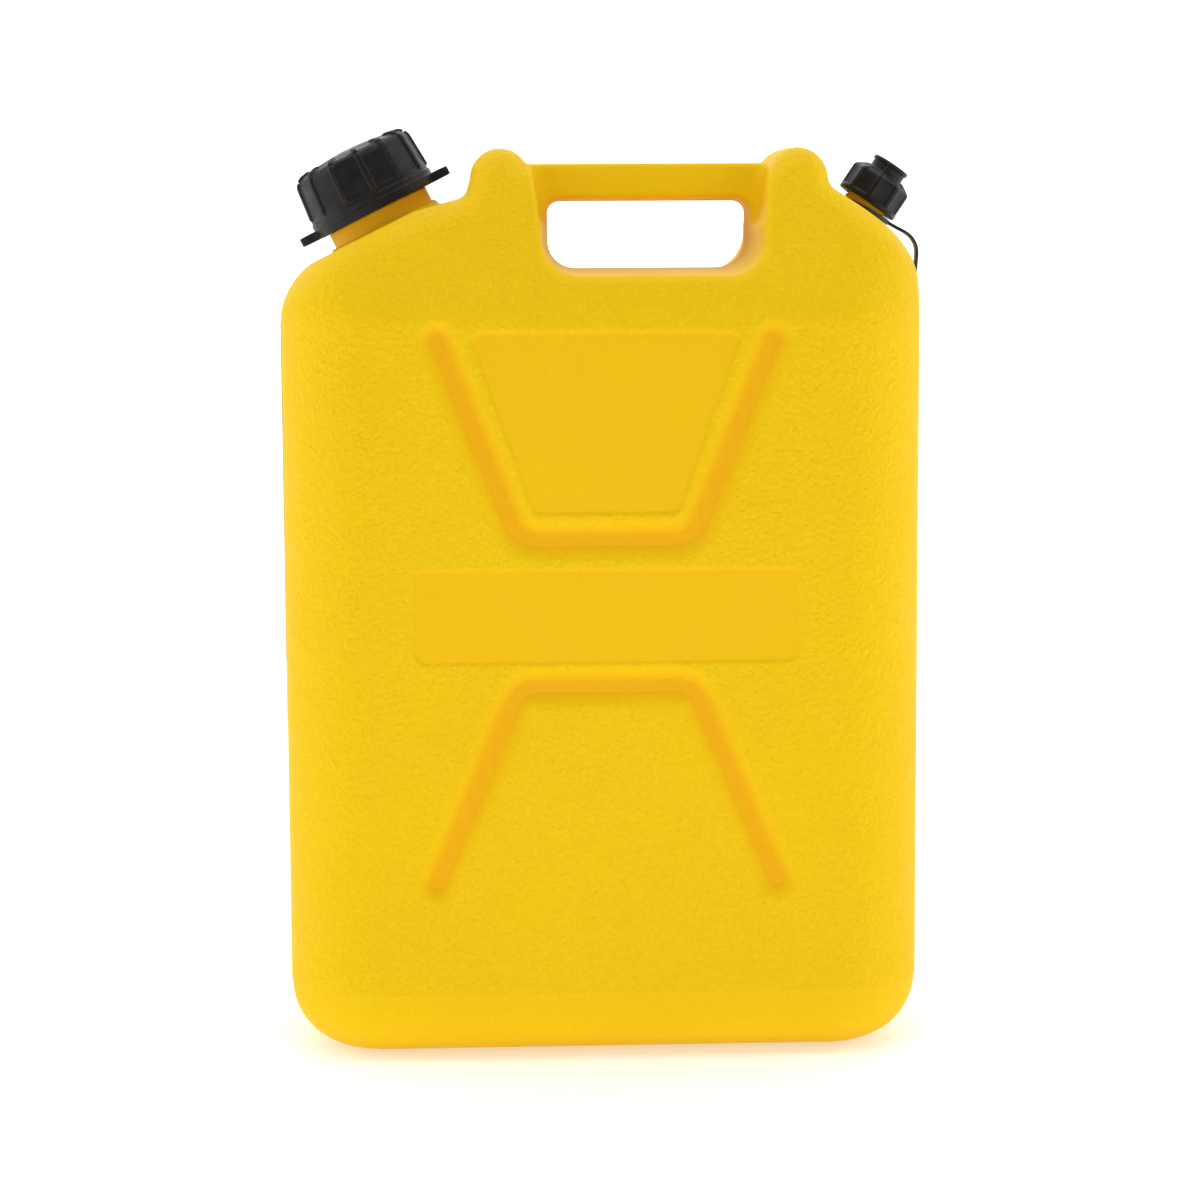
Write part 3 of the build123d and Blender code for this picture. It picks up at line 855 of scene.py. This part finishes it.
def black_plastic(name, scale=1.0):
    material, tree, shader = node_material(name, BLACK, 0.42, Specular_IOR_Level=0.25)
    where = place(tree, "ShaderNodeTexCoord").outputs["Object"]
    cloud = noise(tree, where, 60 * scale, 4)
    share = ramp(tree, cloud, 0.35, 0.7, 0, 1)
    colour = mix_colour(tree, share, DEEP_BLACK, PALE_BLACK)
    # lighter towards convex edges
    edge_lightening = ramp(tree, place(tree, "ShaderNodeNewGeometry").outputs["Pointiness"], 0.52, 0.66, 0, 0.6)
    colour = mix_colour(tree, edge_lightening, colour, PALE_EDGE_BLACK)
    tree.links.new(colour, shader.inputs["Base Color"])
    rough = ramp(tree, noise(tree, where, 220 * scale, 3), 0.3, 0.7, 0.34, 0.52)
    tree.links.new(rough, shader.inputs["Roughness"])
    bump(tree, shader, noise(tree, where, 900 * scale, 3), 0.35, 0.0002)
    return material


def rubber(name):
    material, tree, shader = node_material(name, (0.02, 0.02, 0.02), 0.7)
    where = place(tree, "ShaderNodeTexCoord").outputs["Object"]
    colour = mix_colour(tree, noise(tree, where, 300, 3), (0.014, 0.014, 0.014), (0.035, 0.034, 0.033))
    tree.links.new(colour, shader.inputs["Base Color"])
    tree.links.new(ramp(tree, noise(tree, where, 500, 3), 0.3, 0.7, 0.6, 0.8), shader.inputs["Roughness"])
    bump(tree, shader, noise(tree, where, 1200, 3), 0.3, 0.0002)
    return material


def label_film(name, low, high):
    """A plain film printed in broad bands, with no wording."""
    material, tree, shader = node_material(name, (0.6, 0.1, 0.02), 0.35)
    where = place(tree, "ShaderNodeTexCoord").outputs["Object"]
    split = place(tree, "ShaderNodeSeparateXYZ")
    tree.links.new(where, split.inputs["Vector"])
    height = split.outputs["Z"]
    span = high.z - low.z
    fibre = noise(tree, where, 700, 3)
    body = mix_colour(tree, fibre, (0.60, 0.13, 0.02), (0.68, 0.17, 0.03))
    dark = ramp(tree, height, high.z - 0.28 * span, high.z - 0.278 * span, 0, 1)
    colour = mix_colour(tree, dark, body, (0.05, 0.035, 0.03))
    pale = ramp(tree, height, low.z + 0.16 * span, low.z + 0.162 * span, 1, 0)
    colour = mix_colour(tree, pale, colour, (0.72, 0.66, 0.55))
    tree.links.new(colour, shader.inputs["Base Color"])
    tree.links.new(ramp(tree, noise(tree, where, 90, 3), 0.3, 0.7, 0.25, 0.42), shader.inputs["Roughness"])
    bump(tree, shader, noise(tree, where, 120, 2), 0.06, 0.0002)
    return material


def paint(obj, material):
    obj.data.materials.clear()
    obj.data.materials.append(material)


# ---------------------------------------------------------------- the object
yellow = yellow_plastic("yellow_plastic", grain=True)
# the necks take the more orange pair of colours: painted shade under the caps
shaded_neck_yellow = yellow_plastic("yellow_plastic_neck_shaded", grain=False)
cap_black = black_plastic("black_plastic")

tank = build_tank()
paint(tank, yellow)
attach(tank, "tank")
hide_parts("tank_shell")

for neck in (build_filler_neck(), build_vent_neck()):
    paint(neck, shaded_neck_yellow)
    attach(neck, "tank")

filler_cap = build_filler_cap()
paint(filler_cap, cap_black)
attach(filler_cap, "filler_top")
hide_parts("filler_cap")

vent_cap = build_vent_cap()
paint(vent_cap, cap_black)
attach(vent_cap, "vent_top")
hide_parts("vent_cap")

seal_rubber = rubber("seal_rubber")
for node in ("filler_cap_seal", "vent_cap_seal"):
    paint(frame["nodes"][node], seal_rubber)
paint(frame["nodes"]["vent_strap"], black_plastic("strap_plastic", 2.0))
paint(frame["nodes"]["side_label"], label_film("label_film", *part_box("side_label")))


# ---------------------------------------------------------------- studio
def build_floor():
    """A level floor that curves up into a backdrop a long way behind."""
    bm = bmesh.new()
    profile = [(-6.0, 0.0), (2.2, 0.0)]
    for k in range(1, 13):
        angle = math.radians(90 * k / 12)
        profile.append((2.2 + 1.2 * math.sin(angle), 1.2 * (1 - math.cos(angle))))
    profile.append((3.4, 7.0))
    rows = [[bm.verts.new((x, y, z)) for x in (-7, 7)] for y, z in profile]
    for a, b in zip(rows, rows[1:]):
        bm.faces.new([a[0], a[1], b[1], b[0]])
    for f in bm.faces:
        f.smooth = True
    mesh = bpy.data.meshes.new("studio_floor")
    bm.to_mesh(mesh)
    bm.free()
    floor = bpy.data.objects.new("studio_floor", mesh)
    bpy.context.scene.collection.objects.link(floor)
    material, tree, shader = node_material("pale_floor", (0.86, 0.86, 0.86), 0.8)
    shader.inputs["Specular IOR Level"].default_value = 0.1
    shader.inputs["Emission Color"].default_value = (1, 1, 1, 1)
    shader.inputs["Emission Strength"].default_value = 0.36
    paint(floor, material)


def area_light(name, place_at, aim, size, power):
    data = bpy.data.lights.new(name, "AREA")
    data.shape = "RECTANGLE"
    data.size, data.size_y = size
    data.energy = power
    lamp = bpy.data.objects.new(name, data)
    lamp.location = place_at
    lamp.rotation_euler = (Vector(aim) - Vector(place_at)).to_track_quat("-Z", "Y").to_euler()
    bpy.context.scene.collection.objects.link(lamp)
    return lamp


build_floor()
middle = (cad_low + cad_high) / 2
area_light("top_box", (0, -0.1, 2.0), middle, (2.2, 2.0), 21)
area_light("left_box", (-1.7, 0.05, 0.7), middle, (1.4, 1.8), 14)
area_light("right_box", (1.7, 0.05, 0.7), middle, (1.4, 1.8), 14)
area_light("front_fill", (0.2, -2.4, 1.7), middle, (2.0, 1.2), 4.5)
area_light("back_fill", (-0.2, 2.4, 1.9), middle, (2.0, 1.2), 5)
area_light("low_front", (0, -0.85, 0.02), (0, 0, 0.02), (1.6, 0.06), 2.2)
area_light("backdrop_light", (0, 1.2, 2.6), (0, 3.4, 1.2), (3.0, 1.0), 60)

world = bpy.data.worlds.new("studio")
world.use_nodes = True
world.node_tree.nodes["Background"].inputs["Color"].default_value = (1, 1, 1, 1)
world.node_tree.nodes["Background"].inputs["Strength"].default_value = 0.25
bpy.context.scene.world = world
bpy.context.scene.view_settings.view_transform = "Standard"
bpy.context.scene.view_settings.look = "None"

# ---------------------------------------------------------------- camera
AZIMUTH, ELEVATION, ROLL = math.radians(-2.58), math.radians(7.0), math.radians(0.28)
DISTANCE = 1.35
AIM = Vector((0, 0, 0.185))
AIM_OFFSET = (0.0004, -0.00115)
SENSOR = 36
LENS = 94.14

camera_data = bpy.data.cameras.new("camera")
camera_data.sensor_width = SENSOR
camera_data.lens = LENS
camera = bpy.data.objects.new("camera", camera_data)
back = Vector(
    (
        math.sin(AZIMUTH) * math.cos(ELEVATION),
        -math.cos(AZIMUTH) * math.cos(ELEVATION),
        math.sin(ELEVATION),
    )
)
camera.location = AIM + back * DISTANCE
aim = AIM + Vector((AIM_OFFSET[0], 0, AIM_OFFSET[1]))
turn = (aim - camera.location).to_track_quat("-Z", "Y").to_matrix().to_4x4()
camera.matrix_world = Matrix.Translation(camera.location) @ turn @ Matrix.Rotation(-ROLL, 4, "Z")
bpy.context.scene.collection.objects.link(camera)
bpy.context.scene.camera = camera
